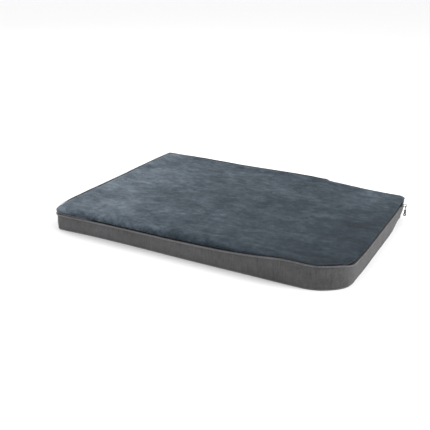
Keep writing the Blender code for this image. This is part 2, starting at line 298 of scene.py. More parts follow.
def place(s, out, z):
    """A point of the cover: this far outside the outline at distance s, and this high."""
    point, outward = OUTLINE.at(s)
    point = point + outward * out
    return settled(point.x, point.y, z)


# Materials

def new_material(name, roughness, metallic=0.0):
    material = bpy.data.materials.new(name)
    material.use_nodes = True
    shader = material.node_tree.nodes["Principled BSDF"]
    shader.inputs["Roughness"].default_value = roughness
    shader.inputs["Metallic"].default_value = metallic
    return material


class Nodes:
    """Short names for a material's nodes. Patterns follow the object's own coordinates."""

    def __init__(self, material):
        self.tree = material.node_tree
        self.shader = self.tree.nodes["Principled BSDF"]

    def add(self, kind, inputs=None, **settings):
        node = self.tree.nodes.new("ShaderNode" + kind)
        for key, value in settings.items():
            setattr(node, key, value)
        for key, value in (inputs or {}).items():
            if isinstance(value, bpy.types.NodeSocket):
                self.tree.links.new(value, node.inputs[key])
            else:
                node.inputs[key].default_value = value
        return node

    def link(self, socket, name):
        self.tree.links.new(socket, self.shader.inputs[name])

    def math(self, operation, a, b=0.0, c=0.0):
        return self.add("Math", {0: a, 1: b, 2: c}, operation=operation).outputs[0]

    def stretched(self, vector, scale):
        return self.add("Mapping", {"Vector": vector, "Scale": scale}).outputs["Vector"]

    def position(self, scale=(1, 1, 1)):
        return self.stretched(self.add("TexCoord").outputs["Object"], scale)

    def split(self, vector):
        return self.add("SeparateXYZ", {"Vector": vector}).outputs

    def noise(self, vector, scale, detail=3.0, roughness=0.55, distortion=0.0):
        values = {"Vector": vector, "Scale": scale, "Detail": detail}
        values |= {"Roughness": roughness, "Distortion": distortion}
        return self.add("TexNoise", values).outputs["Fac"]

    def layered(self, tone, grains):
        """The tone, made lighter and darker by each noise in proportion to its weight."""
        for grain, weight in grains:
            tone = self.math("MULTIPLY_ADD", self.math("SUBTRACT", grain, 0.5), weight, tone)
        return tone

    def ramp(self, value, stops):
        node = self.add("ValToRGB", {"Fac": value})
        elements = node.color_ramp.elements
        while len(elements) < len(stops):
            elements.new(0.5)
        for element, (position, colour) in zip(elements, stops):
            element.position = position
            element.color = (*colour, 1.0)
        return node.outputs["Color"]

    def remap(self, value, low, high, to_low=0.0, to_high=1.0):
        ends = {"From Min": low, "From Max": high, "To Min": to_low, "To Max": to_high}
        return self.add("MapRange", {"Value": value, **ends}).outputs["Result"]

    def mix(self, factor, a, b):
        inputs = {0: factor, 6: (*a, 1.0), 7: (*b, 1.0)}
        return self.add("Mix", inputs, data_type="RGBA").outputs[2]

    def bump(self, height, distance, strength, normal=None):
        inputs = {"Height": height, "Distance": distance, "Strength": strength}
        if normal is not None:
            inputs["Normal"] = normal
        return self.add("Bump", inputs).outputs["Normal"]


VELOUR_TONES = (
    (0.0, (0.0078, 0.0120, 0.0166)),
    (0.21, (0.0142, 0.0211, 0.0285)),
    (0.42, (0.0262, 0.0368, 0.0475)),
    (0.64, (0.0495, 0.0640, 0.0790)),
    (0.85, (0.0890, 0.1106, 0.1340)),
    (1.0, (0.1350, 0.1640, 0.1930)),
)
VELOUR_TONE = 0.545  # at the middle of the top
# Painted light: the top's tone grades lighter to the left and the back-right and darker to the
# right, partly the nap's own tone and partly painted sheen and shade.
VELOUR_NAP_AND_SHADE_X = -0.74  # how the tone falls towards the right, for each metre
VELOUR_NAP_AND_LIGHT_XY = 0.68
BACK_RIGHT_NAP_AND_LIGHT = 0.24
EDGE_SHADE = 0.45


def velour_material():
    """Short nap, mottled where the pile lies different ways. Its tone grades lighter to the left,
    partly nap and partly painted sheen and shade, and painted shade darkens its rolled edge.
    """
    material = new_material("velour", 0.95)
    n = Nodes(material)
    here = n.position()
    axes = n.split(here)
    cloud = n.noise(here, 7.0, detail=4.0, roughness=0.6, distortion=0.9)
    streak = n.noise(n.position((1.0, 1.7, 1.0)), 17.0, detail=4.0, roughness=0.65, distortion=0.8)
    blotch = n.noise(here, 60.0, detail=3.0, roughness=0.65)
    pile = n.noise(here, 280.0, detail=2.0, roughness=0.6)
    nap = n.noise(here, 1100.0, detail=2.0, roughness=0.6)
    # Painted sheen and shade, partly nap: the tone grades by position across the top.
    nap_and_light_grade = n.math("MULTIPLY_ADD", axes["X"], VELOUR_NAP_AND_SHADE_X, VELOUR_TONE)
    cross = n.math("MULTIPLY", axes["X"], axes["Y"])
    right = n.remap(axes["X"], 0.10, 0.30, 0.0, BACK_RIGHT_NAP_AND_LIGHT)
    back = n.remap(axes["Y"], 0.05, 0.20)
    tone = n.math("MULTIPLY_ADD", cross, VELOUR_NAP_AND_LIGHT_XY, nap_and_light_grade)
    tone = n.math("ADD", tone, n.math("MULTIPLY", right, back))
    grains = ((cloud, 0.66), (streak, 0.80), (blotch, 0.50), (pile, 0.36), (nap, 0.22))
    tone = n.layered(tone, grains)
    # Painted shade: the velour darkens in specks where its surface turns away from up, on the
    # steep faces of its rolled edge.
    slope = n.split(n.add("NewGeometry").outputs["Normal"])["Z"]
    painted_shade_specks = n.remap(n.math("ADD", blotch, pile), 0.90, 1.12, 0.0, EDGE_SHADE)
    edge = n.math("MULTIPLY", n.remap(slope, 0.0, 0.6, 1.0, 0.0), painted_shade_specks)
    n.link(n.ramp(n.math("SUBTRACT", tone, edge), VELOUR_TONES), "Base Color")
    fuzz = n.bump(n.math("ADD", nap, pile), 0.7 * MM, 0.5)
    n.link(n.bump(n.math("ADD", streak, blotch), 1.6 * MM, 0.35, fuzz), "Normal")
    n.shader.inputs["Specular IOR Level"].default_value = 0.2
    n.shader.inputs["Sheen Weight"].default_value = 0.04
    n.shader.inputs["Sheen Roughness"].default_value = 0.45
    n.shader.inputs["Sheen Tint"].default_value = (0.72, 0.82, 0.90, 1.0)
    return material


THREAD = 0.9 * MM
YARN_STRETCH = 30.0  # a yarn's own noise changes this slowly along it
WEAVE_CONTRAST = 0.30
# Painted shade: the wall is darker round the large corner.
CORNER_PAINTED_SHADE = 0.17  # how much darker the wall is round the large corner


def woven_material(name, dark, light, thread=THREAD, contrast=1.0):
    """A plain weave of mixed grey yarns, with painted shade darkening it round the large corner.
    Its threads follow the piece's own UV map.
    """
    material = new_material(name, 0.92)
    n = Nodes(material)
    cloth = n.add("UVMap", uv_map="cloth").outputs["UV"]
    axes = n.split(cloth)
    turns = math.pi / thread
    warp = n.math("SINE", n.math("MULTIPLY", axes["X"], turns))
    weft = n.math("SINE", n.math("MULTIPLY", axes["Y"], turns))
    over = n.math("MULTIPLY_ADD", n.math("MULTIPLY", warp, weft), 0.5, 0.5)
    up_yarn = n.noise(n.stretched(cloth, (1 / thread, YARN_STRETCH, 1.0)), 0.5, detail=2.0)
    along_yarn = n.noise(n.stretched(cloth, (YARN_STRETCH, 1 / thread, 1.0)), 0.5, detail=2.0)
    slub = n.noise(n.stretched(cloth, (260.0, 45.0, 1.0)), 1.0, roughness=0.6)
    melange = n.noise(n.position(), 420.0, detail=2.0, roughness=0.7)
    wear = n.noise(n.position(), 22.0, detail=4.0, roughness=0.65)
    tone = n.math("MULTIPLY_ADD", n.math("SUBTRACT", over, 0.5), WEAVE_CONTRAST * contrast, 0.5)
    grains = ((up_yarn, 0.40), (along_yarn, 0.30), (slub, 0.75), (melange, 0.70), (wear, 0.75))
    tone = n.layered(tone, grains)
    here = n.split(n.position())
    # Painted shade: darker round the large corner.
    right = n.remap(here["X"], 0.04, 0.30, 0.0, CORNER_PAINTED_SHADE)
    tone = n.math("SUBTRACT", tone, n.math("MULTIPLY", right, n.remap(here["Y"], -0.20, -0.28)))
    n.link(n.mix(tone, dark, light), "Base Color")
    n.link(n.bump(over, 0.25 * MM, 0.6, n.bump(melange, 0.3 * MM, 0.4)), "Normal")
    n.shader.inputs["Sheen Weight"].default_value = 0.05
    return material


TAPE_RIB = 0.45 * MM


def tape_material(name, dark, light):
    """Fine ribbed weave, paler towards the zip's two ends: painted shade darkens it away from
    them.
    """
    material = new_material(name, 0.85)
    n = Nodes(material)
    here = n.position()
    axes = n.split(here)
    rib = n.math("SINE", n.math("MULTIPLY", axes["Z"], math.pi / TAPE_RIB))
    lint = n.noise(here, 700.0, detail=2.0)
    # Painted shade: the tape is darker away from the zip's two ends, where the velour overhangs
    # it.
    unshaded_near_end = n.remap(n.math("MINIMUM", axes["X"], axes["Y"]), 0.16, 0.26, 0.0, 0.6)
    tone = n.math("MULTIPLY_ADD", rib, 0.10, n.math("MULTIPLY_ADD", lint, 0.5, unshaded_near_end))
    n.link(n.mix(tone, dark, light), "Base Color")
    n.link(n.bump(rib, 0.1 * MM, 0.5), "Normal")
    return material


def rim_material():
    """The tape where it is rolled: near black, with a little lint. Along the velour's rim its near
    black is partly painted shade.
    """
    material = new_material("zip_tape_rolled", 0.9)
    n = Nodes(material)
    lint = n.noise(n.position(), 800.0, detail=2.0)
    n.link(n.mix(lint, (0.004, 0.005, 0.006), (0.018, 0.020, 0.022)), "Base Color")
    n.link(n.bump(lint, 0.1 * MM, 0.6), "Normal")
    return material


def nylon_material():
    """The coil's black nylon, scuffed."""
    material = new_material("zip_nylon", 0.42)
    n = Nodes(material)
    scuff = n.noise(n.position(), 420.0, detail=2.0)
    n.link(n.mix(scuff, (0.004, 0.004, 0.005), (0.012, 0.012, 0.013)), "Base Color")
    n.link(n.remap(scuff, 0.3, 0.7, 0.42, 0.62), "Roughness")
    n.shader.inputs["Specular IOR Level"].default_value = 0.2
    return material


def metal_material(name, dark, light, roughness):
    """Metal with a brushed, slightly worn finish."""
    material = new_material(name, roughness, 1.0)
    n = Nodes(material)
    brushed = n.noise(n.position((1.0, 1.0, 6.0)), 900.0, detail=2.0)
    worn = n.noise(n.position(), 260.0)
    n.link(n.mix(n.remap(worn, 0.45, 0.75), dark, light), "Base Color")
    n.link(n.remap(brushed, 0.3, 0.7, roughness * 0.7, roughness * 1.4), "Roughness")
    n.link(n.bump(brushed, 0.04 * MM, 0.4), "Normal")
    return material


def moulded_material():
    """The pullers' black plastic, with a fine moulded grain."""
    material = new_material("puller_plastic", 0.4)
    n = Nodes(material)
    grain = n.noise(n.position(), 1500.0, detail=2.0)
    n.link(n.mix(grain, (0.004, 0.004, 0.005), (0.011, 0.011, 0.012)), "Base Color")
    n.link(n.remap(grain, 0.3, 0.7, 0.42, 0.60), "Roughness")
    n.link(n.bump(grain, 0.05 * MM, 0.5), "Normal")
    n.shader.inputs["Specular IOR Level"].default_value = 0.25
    return material


def foam_material(name, colour, cell):
    """Open cells of this size, unevenly yellowed."""
    material = new_material(name, 0.98)
    n = Nodes(material)
    here = n.position()
    cells = n.add("TexVoronoi", {"Vector": here, "Scale": 1 / cell}).outputs["Distance"]
    stain = n.noise(here, 30.0)
    darker = tuple(c * 0.72 for c in colour)
    tone = n.math("MULTIPLY_ADD", stain, 0.4, n.math("MULTIPLY", cells, 0.8))
    n.link(n.mix(tone, darker, colour), "Base Color")
    n.link(n.bump(cells, 0.4 * MM, 0.7), "Normal")
    return material


VELOUR = velour_material()
WOVEN = woven_material("woven_band", (0.026, 0.026, 0.027), (0.100, 0.099, 0.103))
WELT = woven_material("woven_welt", (0.045, 0.045, 0.047), (0.150, 0.150, 0.155), contrast=0.6)
BASE = woven_material("woven_base", (0.020, 0.020, 0.022), (0.055, 0.055, 0.058), 1.2 * MM)
TAPE = tape_material("zip_tape_weave", (0.006, 0.006, 0.007), (0.110, 0.110, 0.114))
LOWER_TAPE = tape_material("zip_tape_lower_weave", (0.005, 0.005, 0.006), (0.026, 0.026, 0.027))
RIM = rim_material()
NYLON = nylon_material()
DARK_METAL = metal_material("slider_finish", (0.018, 0.018, 0.020), (0.070, 0.070, 0.073), 0.40)
STEEL = metal_material("wire_finish", (0.018, 0.018, 0.020), (0.075, 0.075, 0.078), 0.38)
MOULDED = moulded_material()
FIRM_FOAM = foam_material("firm_foam_cells", (0.42, 0.43, 0.46), 1.2 * MM)
SOFT_FOAM = foam_material("soft_foam_cells", (0.72, 0.68, 0.56), 1.8 * MM)


def dress(obj, material, slot, *replaced):
    """Gives a new piece its material and hides the CAD nodes it stands for. Its slot is not used.
    """
    obj.data.materials.clear()
    obj.data.materials.append(material)
    if replaced:
        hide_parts(*replaced)


# The velour top

CORNER_Z = TOP_Z - 0.5 * MM
EDGE_CROWN = 4.8 * MM
CENTRE_CROWN = 0.6 * MM
LEFT_FLAT = 0.75  # the share of the edge's crown that the left side lacks, towards the back
LEAST_TOP = TOP_Z - 0.8 * MM  # keeps the cloth clear of the foam
BACK_TILT = 0.2 * MM
BACK_TILT_X = -10.5 * MM  # how the back edge falls towards the right, for each metre
BACK_TILT_LEFT = 1.2 * MM
BACK_SWELL = 6.2 * MM
ZIP_END_LUMP = 2.2 * MM
TIP_LUMP = 3.5 * MM
SOFT_WAVES = ((0.7 * MM, 0.16, 1), (0.45 * MM, 0.06, 2))  # height, scale, seed


def top_height(x, y):
    """The height of the top: lowest at the corners, where the cover is pulled down, and uneven."""
    u, v = min(1, abs(x) / HALF_L), min(1, abs(y) / HALF_W)
    full = 1 - LEFT_FLAT * between(-x, 0.24, 0.38) * between(y, -0.34, 0.12)
    height = CORNER_Z + EDGE_CROWN * (1 - (u * v) ** 2) * full
    height += CENTRE_CROWN * (1 - u * u) * (1 - v * v)
    tilt = BACK_TILT + BACK_TILT_X * x + BACK_TILT_LEFT * between(-x, 0.05, 0.35)
    height += tilt * between(y, -0.10, 0.25)
    height += BACK_SWELL * near(x, 0.11, 0.26) * between(y, 0.17, 0.29)
    lump = near(x, BACK_END_X, 14 * MM) * between(y, HALF_W - 20 * MM, HALF_W)
    height += ZIP_END_LUMP * lump + TIP_LUMP * towards(x, y, HALF_L, HALF_W, TIP_REACH)
    for high, scale, seed in SOFT_WAVES:
        height += high * noise_at(x, y, scale, seed)
    return max(height, LEAST_TOP)


VELOUR_THICK = 1.3 * MM
COLUMN = 3.4 * MM
VELOUR_SECTION = (  # outward offset in mm, share of the way from hem to top, weight of the gathers
    (-0.3, 0.00, 0.3),
    (0.2, 0.09, 0.6),
    (0.7, 0.21, 0.9),
    (0.9, 0.35, 1.0),
    (0.7, 0.49, 1.0),
    (0.0, 0.62, 1.0),
    (-1.3, 0.74, 1.0),
    (-3.2, 0.84, 0.95),
    (-5.8, 0.915, 0.85),
    (-9.0, 0.96, 0.65),
    (-12.8, 0.985, 0.4),
    (-17.2, 1.0, 0.2),
    (-22.0, 1.0, 0.0),
)
RING_IN = 22 * MM  # where the rolled edge ends and the flat top starts
FRONT_LEFT_HEM = 2.6 * MM  # how much higher the hem is where the seam nears the left side
GATHERS = ((1.0, 8 * MM, 3), (0.9, 17 * MM, 4))  # weight, scale, seed
GATHER_POWER = 0.8
ROLL_FROM = 0.6  # from this share of the height the edge rolls over, and from this one it is flat
FLAT_FROM = 0.9


def pucker(s):
    """Small gathers along the seam, sharper on their high side."""
    wave = sum(weight * wobble(s, scale, seed) for weight, scale, seed in GATHERS)
    return math.copysign(abs(wave) ** GATHER_POWER, wave) * (1.3 + wobble(s, 60 * MM, 5))


def hem_height(s):
    above = by_side(s, 5.0, free=-4.1, large=5.5)
    above += FRONT_LEFT_HEM * near(s, LEFT_START - 45 * MM, 75 * MM)
    return zip_height(s) + above + lifted(s)


def velour_edge(s, out, share):
    """A point of the velour's rolled edge before its gathers: how far out it stands, how high."""
    out = out if out > 0 else out * roll_size(s)
    point, outward = OUTLINE.at(s)
    here = point + outward * out * MM
    low = hem_height(s)
    return out * MM, low + (top_height(here.x, here.y) - low) * share


def velour_rows(stations):
    rows = []
    for out, share, weight in VELOUR_SECTION:
        across = 0.9 if share < FLAT_FROM else 0.2
        up = 0.1 if share < ROLL_FROM else 0.5
        row = []
        for s in stations:
            stand, z = velour_edge(s, out, share)
            shift = pucker(s + 1.5 * MM * out) * weight * by_side(s, 0.9, free=0.5)
            row.append(place(s, stand + shift * across, z + shift * up))
        rows.append(row)
    return rows


CELL = 7.0 * MM  # the flat top is a grid of equilateral triangles
CELL_ROW = 0.866
GRID_IN_LEFT_BACK = 0.50  # where that grid starts, as shares of the rolled edge's full width
GRID_IN_RIGHT = 0.62
GRID_IN_FRONT = 0.82
SAME_POINT = 1e-6
INSIDE_ONLY = 1  # delaunay_2d_cdt's code for keeping the triangles inside the outline


def grid_points():
    """The flat top's own points, on plan."""
    points = []
    for j in range(int(2 * HALF_W / (CELL * CELL_ROW)) + 2):
        for i in range(int(2 * HALF_L / CELL) + 2):
            x = -HALF_L + (i + 0.5 * (j % 2)) * CELL
            y = -HALF_W + j * CELL * CELL_ROW
            if x < -0.3 or y > 0.2:
                share = GRID_IN_LEFT_BACK
            else:
                share = GRID_IN_RIGHT if x > 0.3 else GRID_IN_FRONT
            if depth_inside(x, y) > (RING_IN + CELL * 0.7) * share:
                points.append(Vector((x, y)))
    return points


def build_velour():
    stations = all_round(COLUMN)
    rows = velour_rows(stations)
    mesh = ribbon_mesh("velour_top", rows, closed=True)
    count = len(stations)
    first = (len(rows) - 1) * count
    points = []
    for s in stations:
        point, outward = OUTLINE.at(s)
        points.append(point - outward * RING_IN * roll_size(s))
    points += grid_points()
    ring = list(range(count))[::-1]
    flat = delaunay_2d_cdt(points, [], [ring], INSIDE_ONLY, SAME_POINT, True)
    made, faces, sources = flat[0], flat[2], flat[3]
    bm = bmesh.new()
    bm.from_mesh(mesh)
    bm.verts.ensure_lookup_table()
    cloth = bm.loops.layers.uv["cloth"]
    lookup = []
    for point, origins in zip(made, sources):
        on_ring = [o for o in origins if o < count]
        if on_ring:
            lookup.append(bm.verts[first + on_ring[0]])
        else:
            height = top_height(point.x, point.y)
            lookup.append(bm.verts.new(settled(point.x, point.y, height)))
    for corners in faces:
        face = bm.faces.new([lookup[c] for c in corners])
        face.smooth = True
        for loop in face.loops:
            loop[cloth].uv = loop.vert.co.xy
    bm.normal_update()
    for face in bm.faces:
        if len(face.verts) == 3 and face.normal.z < 0:
            face.normal_flip()
    bm.to_mesh(mesh)
    bm.free()
    obj = add_object("velour_top", mesh)
    ease_into_seam(obj, count)
    solidify(obj, VELOUR_THICK)
    dress(obj, VELOUR, "velour", "top_panel")
    return obj


PINNED_ROWS = 2  # the lowest rows are sewn down
EASED_ROWS = 11
EASE = 0.10  # how much longer the cut cloth is than the seam that it is sewn to
INNER_EASE = 0.5  # shares of that ease, above the eased rows and out on the flat top
TOP_EASE = 0.4
TOP_HOLD = 0.8
TOP_FADE = 50 * MM
STEPS = 16
MOST_MOVE = 3.2 * MM
TINY = 1e-9


def ease_into_seam(obj, count):
    """Cloth simulation: the velour is a little too long for its seam, so its edge gathers."""
    hold = obj.vertex_groups.new(name="hold")
    ease = obj.vertex_groups.new(name="ease")
    start = np.array([v.co[:] for v in obj.data.vertices])
    for vertex in obj.data.vertices:
        row = vertex.index // count
        if row < len(VELOUR_SECTION):
            held = 1.0 if row < PINNED_ROWS else 0.0
            eased = 1.0 if PINNED_ROWS <= row < EASED_ROWS else INNER_EASE
        else:
            inside = smooth((depth_inside(*vertex.co.xy) - RING_IN) / TOP_FADE)
            held, eased = TOP_HOLD * inside, TOP_EASE * (1 - inside)
        hold.add([vertex.index], held, "REPLACE")
        ease.add([vertex.index], eased, "REPLACE")
    cloth = obj.modifiers.new("cloth", "CLOTH")
    settings = cloth.settings
    settings.quality = 5
    settings.mass = 0.15
    settings.tension_stiffness = 18
    settings.compression_stiffness = 18
    settings.shear_stiffness = 6
    settings.bending_stiffness = 0.2
    settings.vertex_group_mass = "hold"
    settings.pin_stiffness = 1.5
    settings.vertex_group_shrink = "ease"
    settings.shrink_min = 0.0
    settings.shrink_max = -EASE
    settings.use_pressure = True
    settings.uniform_pressure_force = 1.2
    settings.effector_weights.gravity = 0
    cloth.collision_settings.use_collision = False
    cloth.point_cache.frame_end = STEPS
    scene = bpy.context.scene
    for step in range(1, STEPS + 1):
        scene.frame_set(step)
    graph = bpy.context.evaluated_depsgraph_get()
    moved = np.array([v.co[:] for v in obj.evaluated_get(graph).data.vertices])
    obj.modifiers.remove(cloth)
    scene.frame_set(1)
    shift = moved - start
    size = np.linalg.norm(shift, axis=1)
    shift *= (np.minimum(size, MOST_MOVE) / np.maximum(size, TINY))[:, None]
    for vertex, co in zip(obj.data.vertices, start + shift):
        vertex.co = co


# The wall

WALL_THICK = 1.6 * MM
BAND_LOW = 3.0 * MM
BAND_STEP = 4 * MM
BAND_SHAPE = (  # share of the height, outward offset in mm
    (0.00, -1.8),
    (0.04, -0.9),
    (0.12, -0.4),
    (0.26, 0.1),
    (0.42, 0.4),
    (0.58, 0.4),
    (0.72, 0.1),
    (0.83, -0.4),
    (0.91, -0.9),
    (0.97, -1.2),
    (1.00, -1.4),
)


def band_top(s):
    return zip_height(s) + by_side(s, -5.2, free=1.2, large=5.2) + lifted(s)


def band_rows(stations):
    rows = []
    for share, out in BAND_SHAPE:
        row = []
        for s in stations:
            soft = 0.7 * wobble(s, 60 * MM, 11 + share) + 0.25 * wobble(s, 15 * MM, 14 + share * 2)
            bulge = soft * (0.3 + 0.7 * math.sin(math.pi * share))
            swell = 0.6 * free_side(s) * share
            z = BAND_LOW + (band_top(s) - BAND_LOW) * share
            row.append(place(s, (out + swell + bulge) * MM, z))
        rows.append(row)
    return rows


def build_band():
    rows = band_rows(all_round(BAND_STEP))
    obj = add_object("woven_band", ribbon_mesh("woven_band", rows, closed=True))
    solidify(obj, WALL_THICK)
    dress(obj, WOVEN, "woven", "side_band")


TUBE_SIDES = 12
TUBE_UNEVEN = 0.10
SEAM_POINTS_APART = 1e-7  # the first and last rows of a tube are the same points
MOST_END_SIDES = 40


def tube_rows(stations, centre, radii, seed):
    """An oval section along the outline. centre(s) gives its offset and height."""
    rows = []
    for k in range(TUBE_SIDES + 1):
        angle = -math.pi / 2 + 2 * math.pi * k / TUBE_SIDES
        row = []
        for s in stations:
            out, z = centre(s)
            wide, tall = radii(s)
            wide *= 1 + TUBE_UNEVEN * wobble(s, 12 * MM, seed)
            row.append(place(s, out + wide * math.cos(angle), z + tall * math.sin(angle)))
        rows.append(row)
    return rows


def tube(name, stations, centre, radii, seed, closed=False):
    mesh = ribbon_mesh(name, tube_rows(stations, centre, radii, seed), closed)
    bm = bmesh.new()
    bm.from_mesh(mesh)
    bmesh.ops.remove_doubles(bm, verts=bm.verts, dist=SEAM_POINTS_APART)
    if not closed:
        ends = [e for e in bm.edges if e.is_boundary]
        bmesh.ops.holes_fill(bm, edges=ends, sides=MOST_END_SIDES)
    bmesh.ops.recalc_face_normals(bm, faces=bm.faces)
    bm.to_mesh(mesh)
    bm.free()
    return add_object(name, mesh)


def build_welt():
    """The band's folded top edge, which stands proud of the wall along the zip."""
    def centre(s):
        sag = 0.5 * MM * wobble(s, 70 * MM, 21) * free_side(s)
        above = by_side(s, -6.9, free=2.7, large=6.6) + sag + lifted(s)
        return by_side(s, -0.6, free=2.6, large=-1.2), zip_height(s) + above

    def radii(s):
        return by_side(s, 1.3, free=0.8), by_side(s, 2.1, free=0.4)

    stations = spread(0, OUTLINE.zip_length, 4 * MM)
    dress(tube("folded_welt", stations, centre, radii, 22), WELT, "woven", "band_ridge")


FOLD_BEFORE = 110 * MM  # how far the second fold runs on either side of its ear
FOLD_AFTER = 34 * MM


def build_corner_fold():
    """A second fold above the welt: it leaves the front seam and has an ear at the corner."""
    corner = LEFT_START - 17 * MM
    first, last = corner - FOLD_BEFORE, corner + FOLD_AFTER

    def centre(s):
        left = between(s, corner - 30 * MM, corner + 20 * MM)
        return (0.5 + 0.4 * near(s, corner, 40 * MM)) * MM, zip_height(s) + (0.6 + 7.4 * left) * MM

    def radii(s):
        ends = between(s, first, first + 20 * MM) * between(-s, -last, 16 * MM - last)
        ear = near(s, corner, 26 * MM)
        return (0.5 + 0.7 * ends + 1.2 * ear) * MM, (0.5 + 0.8 * ends + 1.0 * ear) * MM

    dress(tube("corner_fold", spread(first, last, 2 * MM), centre, radii, 23), WELT, "woven")


def build_bottom_seam():
    def centre(s):
        return (-1.4 + 0.3 * wobble(s, 50 * MM, 31)) * MM, 1.75 * MM

    def radii(s):
        return 1.3 * MM, 1.7 * MM

    obj = tube("bottom_piping", all_round(5 * MM), centre, radii, 32, closed=True)
    dress(obj, WELT, "woven", "bottom_seam")


HINGE_LOW = -5.6 * MM  # the hinge panel's edges, above the zip line
HINGE_HIGH = 5.4 * MM
HINGE_SHAPE = ((0.0, -0.9), (0.1, -0.2), (0.3, 0.3), (0.6, 0.5), (0.85, 0.2), (1.0, -0.8))


def build_hinge_cloth():
    """Plain cloth that closes the wall between the two ends of the zip."""
    stations = spread(OUTLINE.zip_length + TAPE_PAST, OUTLINE.length - TAPE_PAST, 4 * MM)
    rows = []
    for share, out in HINGE_SHAPE:
        row = []
        for s in stations:
            z = zip_height(s) + HINGE_LOW + (HINGE_HIGH - HINGE_LOW) * share
            row.append(place(s, (out + 0.4 * wobble(s, 30 * MM, 41)) * MM, z))
        rows.append(row)
    obj = add_object("hinge_cloth", ribbon_mesh("hinge_cloth", rows, closed=False))
    solidify(obj, WALL_THICK)
    dress(obj, WELT, "woven", "hinge_panel")


BASE_THICK = 1.4 * MM
BASE_SHAPE = (  # outward offset and height in mm
    (-2.6, 1.9),
    (-2.9, 0.9),
    (-3.8, 0.1),
    (-6.0, 0.0),
    (-14.0, 0.0),
)


def build_base_cloth():
    """The underside: flat where it rests, with its edge turned up into the seam."""
    stations = all_round(8 * MM)
    rows = [[place(s, out * MM, z * MM) for s in stations] for out, z in BASE_SHAPE]
    mesh = ribbon_mesh("base_cloth", rows, closed=True)
    bm = bmesh.new()
    bm.from_mesh(mesh)
    bm.verts.ensure_lookup_table()
    cloth = bm.loops.layers.uv["cloth"]
    for loop in bm.faces.new(bm.verts[-len(stations):]).loops:
        loop[cloth].uv = loop.vert.co.xy
    bm.normal_update()
    for face in bm.faces:
        if len(face.verts) == 4 and face.normal.z > 0:
            face.normal_flip()
    bm.to_mesh(mesh)
    bm.free()
    obj = add_object("base_cloth", mesh)
    solidify(obj, BASE_THICK)
    dress(obj, BASE, "base_cloth", "bottom_panel")


# The zip

COIL_PITCH = 1.5 * MM
COIL_DEPTH = 2.7 * MM  # how far the coil lies inside the outline
COIL_NEAR = 0.3 * MM  # the two rows of coil reach from here to here above and below the zip line
COIL_FAR = 2.0 * MM
TOOTH_HALF_ALONG = 0.48 * MM
TOOTH_HALF_OUT = 0.95 * MM
TOOTH_ROUND = 0.25 * MM
TOOTH_TIP = 0.55  # the size of a tooth's ends, as a share of its middle
TOOTH_SECTION = (
    (-1, -0.6), (-1, 0.6), (-0.5, 1), (0.5, 1), (1, 0.6), (1, -0.6), (0.5, -1), (-0.5, -1),
)
TAPE_DEPTH = -2.75 * MM
TAPE_THICK = 0.5 * MM
TAPE_NEAR = 2.05 * MM
TAPE_LOW = -8.5 * MM
TAPE_TOP_LEAST = 6.4 * MM
TAPE_INTO_HEM = 2.5 * MM
RIM_TAPER_FIRST = 70 * MM
RIM_TAPER_LAST = 30 * MM


def build_tape(name, node, material, low, high):
    """One woven tape of the zip, from low to high(s) above the zip line, with a slight wave."""
    stations = spread(-TAPE_PAST, OUTLINE.zip_length + TAPE_PAST, 4 * MM)
    rows = []
    for share in (0.0, 0.35, 0.7, 1.0):
        row = []
        for s in stations:
            wave = 0.25 * MM * wobble(s, 25 * MM, 51) * (1 - share)
            row.append(place(s, TAPE_DEPTH + wave, zip_height(s) + low + (high(s) - low) * share))
        rows.append(row)
    obj = add_object(name, ribbon_mesh(name, rows, closed=False))
    solidify(obj, TAPE_THICK, 0.0)
    dress(obj, material, "zip_tape", node)


def upper_tape_top(s):
    return max(TAPE_TOP_LEAST, hem_height(s) + TAPE_INTO_HEM - zip_height(s))


def tooth(bm, s, low, high):
    """One turn of the coil, seen as a rounded bar across its row."""
    point, outward = OUTLINE.at(s)
    along = Vector((outward.y, -outward.x, 0))
    out = Vector((outward.x, outward.y, 0))
    centre = Vector(settled(point.x, point.y, zip_height(s))) - out * COIL_DEPTH
    rings = []
    bottom, top = low + TOOTH_ROUND, high - TOOTH_ROUND
    for z, size in ((low, TOOTH_TIP), (bottom, 1.0), (top, 1.0), (high, TOOTH_TIP)):
        ring = []
        for a, b in TOOTH_SECTION:
            corner = centre + along * a * TOOTH_HALF_ALONG * size
            corner += out * b * TOOTH_HALF_OUT * size
            ring.append(bm.verts.new(corner + Vector((0, 0, z))))
        rings.append(ring)
    sides = len(TOOTH_SECTION)
    for lower, upper in zip(rings, rings[1:]):
        for i in range(sides):
            j = (i + 1) % sides
            bm.faces.new((lower[i], lower[j], upper[j], upper[i])).smooth = True
    bm.faces.new(rings[0][::-1])
    bm.faces.new(rings[-1])


def build_coil(name, node, low, high, shift):
    """One row of the zip's coil. The upper row stands half a pitch along from the lower one."""
    bm = bmesh.new()
    for i in range(int(OUTLINE.zip_length / COIL_PITCH) - 1):
        tooth(bm, (i + 0.5 + shift) * COIL_PITCH, low, high)
    bmesh.ops.recalc_face_normals(bm, faces=bm.faces)
    mesh = bpy.data.meshes.new(name)
    bm.to_mesh(mesh)
    bm.free()
    dress(add_object(name, mesh), NYLON, "zip_coil", node)


